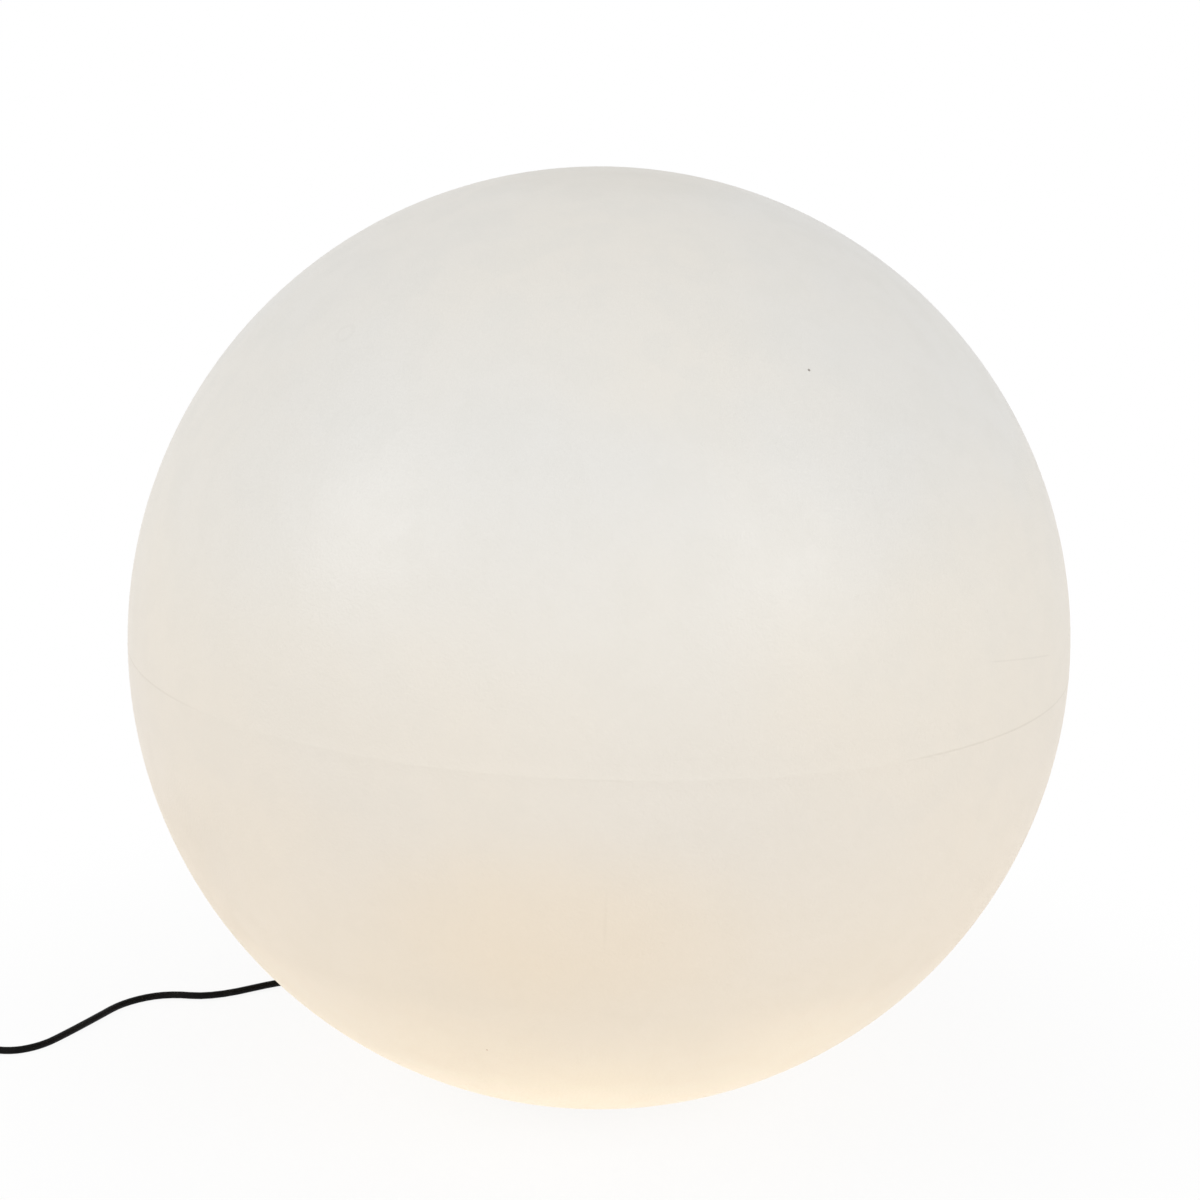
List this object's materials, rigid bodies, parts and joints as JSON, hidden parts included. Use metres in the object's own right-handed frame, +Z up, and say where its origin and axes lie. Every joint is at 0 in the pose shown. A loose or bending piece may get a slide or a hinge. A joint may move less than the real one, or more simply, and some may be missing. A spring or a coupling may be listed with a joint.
{
  "type": "garden globe light",
  "caption": "Hollow white globe lamp for the garden, standing on a black base plate; it glows from a screw-in bulb inside and has a rubber mains cord with a plug.",
  "frame": {"origin": "on the ground, under the centre of the globe", "axes": "+Z up, front towards -Y; the cord leaves towards -X"},
  "size_m": [1.0946, 0.8, 0.7882],
  "materials": {
    "globe_polyethylene": "satin moulded polyethylene, translucent off-white, lit from inside",
    "base_plastic": "fine-grained black moulded plastic",
    "gland_plastic": "black polyamide",
    "rubber": "matt black rubber",
    "cable_rubber": "satin black rubber cable sheath",
    "tie_strap": "black hook-and-loop strap",
    "steel": "zinc-plated steel",
    "brass": "bright brass",
    "pin_metal": "nickel-plated brass",
    "holder_plastic": "black thermoset",
    "core_ceramic": "glazed cream ceramic",
    "cap_metal": "rolled aluminium",
    "cap_glass": "black insulating glass",
    "bulb_housing": "white plastic over aluminium",
    "bulb_diffuser": "opal, warm white when lit",
    "led_aluminium": "white-lacquered aluminium board",
    "led_phosphor": "yellow phosphor",
    "circuit_board": "green laminate with black capacitor",
    "lead_brown": "brown core insulation",
    "lead_blue": "blue core insulation"
  },
  "bodies": {
    "base": {"base_plate": "base_plastic", "base_turret": "base_plastic", "gland_body": "gland_plastic", "gland_nut": "gland_plastic", "gland_lock_nut": "gland_plastic", "foot_1": "rubber", "foot_2": "rubber", "foot_3": "rubber", "foot_4": "rubber", "foot_5": "rubber", "foot_6": "rubber", "base_seal": "rubber", "gland_seal": "rubber", "gland_washer": "rubber", "cord_boot": "rubber", "cord_run": "cable_rubber", "cord_coil": "cable_rubber", "cord_tail": "cable_rubber", "cable_inner": "cable_rubber", "plug_boot": "cable_rubber", "plug_body": "cable_rubber", "coil_tie": "tie_strap", "feet_screws": "steel", "bracket_screws": "steel", "holder_bracket": "steel", "nipple_nut": "steel", "holder_nipple": "brass", "screw_shell": "brass", "centre_contact": "brass", "terminals": "brass", "terminal_screws": "brass", "plug_pins": "pin_metal", "holder_cup": "holder_plastic", "holder_sleeve": "holder_plastic", "holder_core": "core_ceramic", "lead_brown": "lead_brown", "lead_blue": "lead_blue"},
    "thumb_screw_1": {"thumb_knob_1": "base_plastic", "thumb_shank_1": "steel", "captive_ring_1": "steel"},
    "thumb_screw_2": {"thumb_knob_2": "base_plastic", "thumb_shank_2": "steel", "captive_ring_2": "steel"},
    "thumb_screw_3": {"thumb_knob_3": "base_plastic", "thumb_shank_3": "steel", "captive_ring_3": "steel"},
    "globe": {"globe_upper": "globe_polyethylene", "globe_lower": "globe_polyethylene", "thread_inserts": "brass"},
    "bulb_thread": {"bulb_tip": "cap_metal"},
    "bulb": {"bulb_cap": "cap_metal", "bulb_insulator": "cap_glass", "bulb_housing": "bulb_housing", "led_board": "led_aluminium", "led_chips": "led_phosphor", "driver_board": "circuit_board", "bulb_diffuser": "bulb_diffuser"}
  },
  "joints": [
    {"name": "globe_lift", "type": "slide", "parent": "base", "child": "globe", "axis": [0, 0, 1], "range_m": [0, 0.3]},
    {"name": "thumb_screw_1_turn", "type": "hinge", "parent": "base", "child": "thumb_screw_1", "pos_m": [0.045, 0.07794, 0.01], "axis": [0, 0, 1], "range_deg": [0, 1440]},
    {"name": "thumb_screw_2_turn", "type": "hinge", "parent": "base", "child": "thumb_screw_2", "pos_m": [-0.09, 0, 0.01], "axis": [0, 0, 1], "range_deg": [0, 1440]},
    {"name": "thumb_screw_3_turn", "type": "hinge", "parent": "base", "child": "thumb_screw_3", "pos_m": [0.045, -0.07794, 0.01], "axis": [0, 0, 1], "range_deg": [0, 1440]},
    {"name": "bulb_rise", "type": "slide", "parent": "base", "child": "bulb_thread", "axis": [0, 0, 1], "range_m": [0, 0.011]},
    {"name": "bulb_turn", "type": "hinge", "parent": "bulb_thread", "child": "bulb", "pos_m": [0, 0, 0.19], "axis": [0, 0, 1], "range_deg": [0, 1080]}
  ],
  "couplings": [
    {"joint": "bulb_rise", "follows": "bulb_turn", "m_per_rad": 0.00057296}
  ]
}
